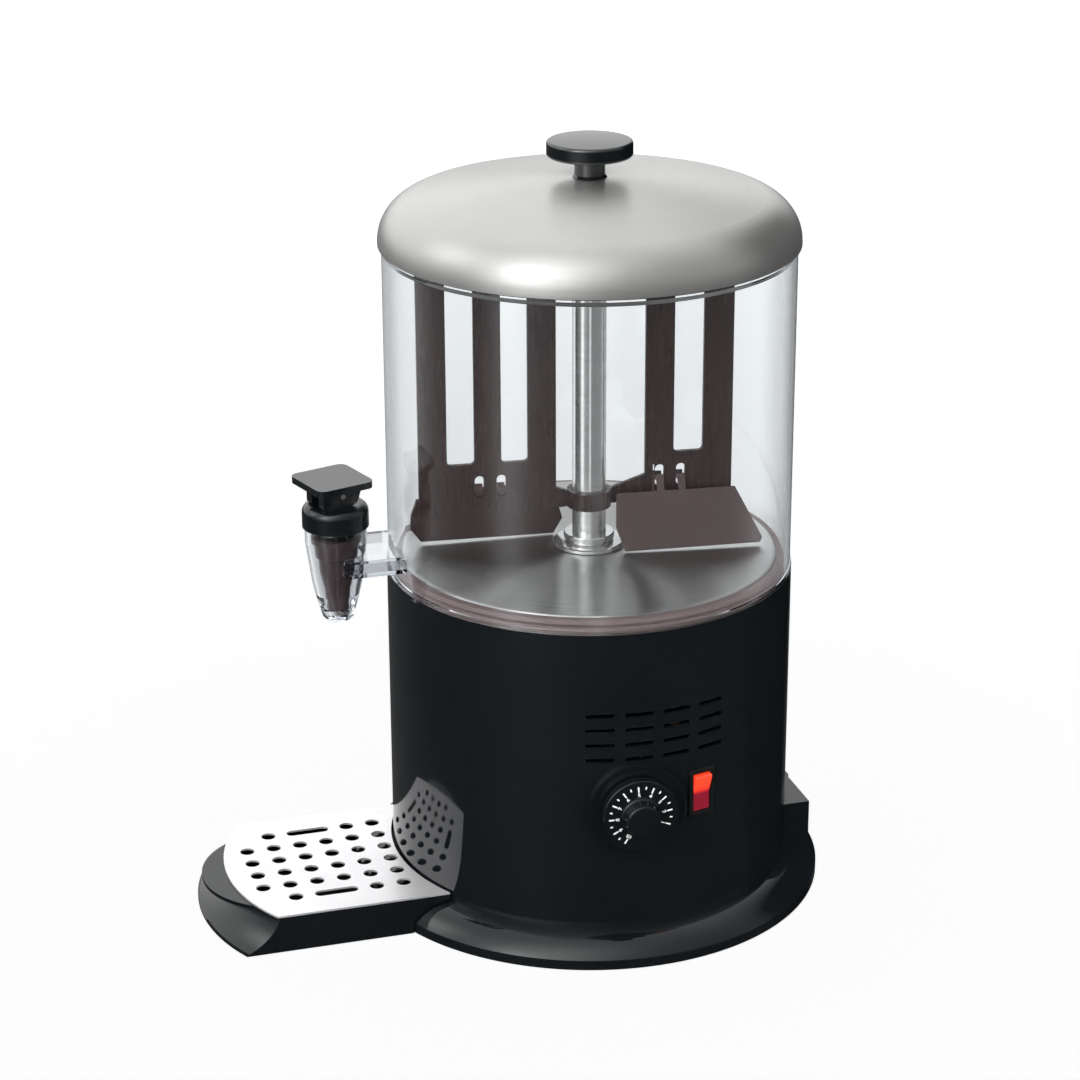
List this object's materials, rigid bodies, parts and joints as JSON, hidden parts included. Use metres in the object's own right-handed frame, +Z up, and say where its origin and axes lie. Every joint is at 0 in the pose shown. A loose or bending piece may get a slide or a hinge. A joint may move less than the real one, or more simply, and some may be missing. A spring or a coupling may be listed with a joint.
{
  "type": "heated sauce dispenser",
  "caption": "Heated sauce dispenser: clear bowl with stirring paddle and lever tap on a round black base, domed steel lid, drip tray, thermostat dial and rocker switch.",
  "frame": {"origin": "centre of the round base on the plane of the rubber feet's undersides", "axes": "+Z up along the column; -Y towards the tap and the drip tray; +X towards the dial and the rocker switch; +Y towards the rear housing"},
  "size_m": [0.28, 0.382, 0.4578],
  "materials": {
    "black_gloss": "high-gloss black moulded plastic",
    "dial_black": "black moulding with printed white scale",
    "switch_black": "satin black",
    "rocker_red": "translucent red",
    "lid_steel": "spun, finely brushed",
    "plate_steel": "brushed in circles",
    "column_steel": "polished tube",
    "grid_steel": "satin",
    "clear_polycarbonate": "clear moulding",
    "paddle_brown": "satin brown moulding",
    "scraper_brown": "satin brown moulding",
    "plunger_brown": "satin brown moulding",
    "gasket_brown": "brown silicone",
    "dark_rubber": "black rubber",
    "plain_steel": "plain bright steel",
    "spring_steel": "drawn stainless wire",
    "heater_steel": "heat-tinted tube",
    "gearbox_metal": "as-cast, satin",
    "stack_steel": "laminated, varnished",
    "coil_copper": "enamelled copper winding",
    "brass": "turned",
    "gear_nylon": "natural nylon",
    "bush_ptfe": "white, waxy",
    "control_grey": "dark moulding",
    "terminal_white": "off-white moulding"
  },
  "bodies": {
    "machine": {"base_shell": "black_gloss", "foot_ring": "black_gloss", "bottom_plate": "plain_steel", "rubber_feet": "dark_rubber", "foot_screws": "plain_steel", "rear_housing": "black_gloss", "power_inlet": "control_grey", "bowl_gasket": "gasket_brown", "bath_cover": "plate_steel", "water_tank": "plain_steel", "heating_element": "heater_steel", "heater_nuts": "brass", "thermostat_body": "control_grey", "thermostat_bulb": "brass", "safety_cutout": "control_grey", "column_tube": "column_steel", "column_collar": "column_steel", "column_seal": "dark_rubber", "lower_bush": "bush_ptfe", "upper_bush": "bush_ptfe", "motor_bracket": "plain_steel", "bracket_screws": "plain_steel", "gearbox_case": "gearbox_metal", "gearbox_cover": "gearbox_metal", "motor_stack": "stack_steel", "motor_coil": "coil_copper", "dial_bezel": "black_gloss", "switch_body": "switch_black", "terminal_block": "terminal_white"},
    "agitator": {"drive_shaft": "plain_steel", "output_gear": "gear_nylon", "paddle": "paddle_brown"},
    "rotor": {"motor_rotor": "plain_steel"},
    "long_blade": {"long_scraper": "scraper_brown"},
    "short_blade": {"short_scraper": "scraper_brown"},
    "bowl_set": {"bowl": "clear_polycarbonate", "tap_body": "clear_polycarbonate", "tap_bonnet": "black_gloss", "tap_spring": "spring_steel"},
    "lid": {"lid_shell": "lid_steel", "lid_seal": "dark_rubber", "lid_knob": "black_gloss", "knob_screw": "plain_steel"},
    "plunger": {"tap_plunger": "plunger_brown", "tap_seal": "gasket_brown", "lever_pin": "plain_steel"},
    "lever": {"tap_lever": "black_gloss"},
    "dial": {"dial_knob": "dial_black", "thermostat_spindle": "brass"},
    "rocker": {"rocker_button": "rocker_red"},
    "tray": {"drip_tray": "black_gloss"},
    "grid": {"drip_grid": "grid_steel"}
  },
  "joints": [
    {"name": "paddle_spin", "type": "hinge", "parent": "machine", "child": "agitator", "pos_m": [0, 0, 0.3], "axis": [0, 0, 1], "continuous": true},
    {"name": "rotor_spin", "type": "hinge", "parent": "machine", "child": "rotor", "pos_m": [0, 0.0336, 0.08], "axis": [0, 0, 1], "continuous": true},
    {"name": "long_scraper_lift", "type": "hinge", "parent": "agitator", "child": "long_blade", "pos_m": [0, 0, 0.2525], "axis": [0.1045, 0.9945, 0], "range_deg": [0, 20]},
    {"name": "short_scraper_lift", "type": "hinge", "parent": "agitator", "child": "short_blade", "pos_m": [0, 0, 0.2525], "axis": [-0.1045, -0.9945, 0], "range_deg": [0, 20]},
    {"name": "bowl_lift", "type": "slide", "parent": "machine", "child": "bowl_set", "axis": [0, 0, 1], "range_m": [0, 0.21]},
    {"name": "lid_lift", "type": "slide", "parent": "bowl_set", "child": "lid", "axis": [0, 0, 1], "range_m": [0, 0.12]},
    {"name": "plunger_lift", "type": "slide", "parent": "bowl_set", "child": "plunger", "axis": [0, 0, 1], "range_m": [0, 0.006], "deforming": ["tap_spring"]},
    {"name": "tap_open", "type": "hinge", "parent": "plunger", "child": "lever", "pos_m": [0, -0.153, 0.262], "axis": [0.9563, 0.2924, 0], "range_deg": [0, 30.1]},
    {"name": "dial_turn", "type": "hinge", "parent": "machine", "child": "dial", "pos_m": [0.11971, -0.00837, 0.0955], "axis": [0.9976, -0.0698, 0], "range_deg": [-270, 0]},
    {"name": "rocker_tip", "type": "hinge", "parent": "machine", "child": "rocker", "pos_m": [0.11387, 0.03094, 0.0995], "axis": [-0.2622, 0.965, 0], "range_deg": [-14, 0]},
    {"name": "tray_pull", "type": "slide", "parent": "machine", "child": "tray", "axis": [0, -1, 0], "range_m": [0, 0.15]},
    {"name": "grid_lift", "type": "slide", "parent": "tray", "child": "grid", "axis": [0, 0, 1], "range_m": [0, 0.08]}
  ],
  "couplings": [
    {"joint": "rotor_spin", "follows": "paddle_spin", "ratio": -3},
    {"joint": "tap_open", "follows": "plunger_lift", "rad_per_m": 87.26}
  ]
}
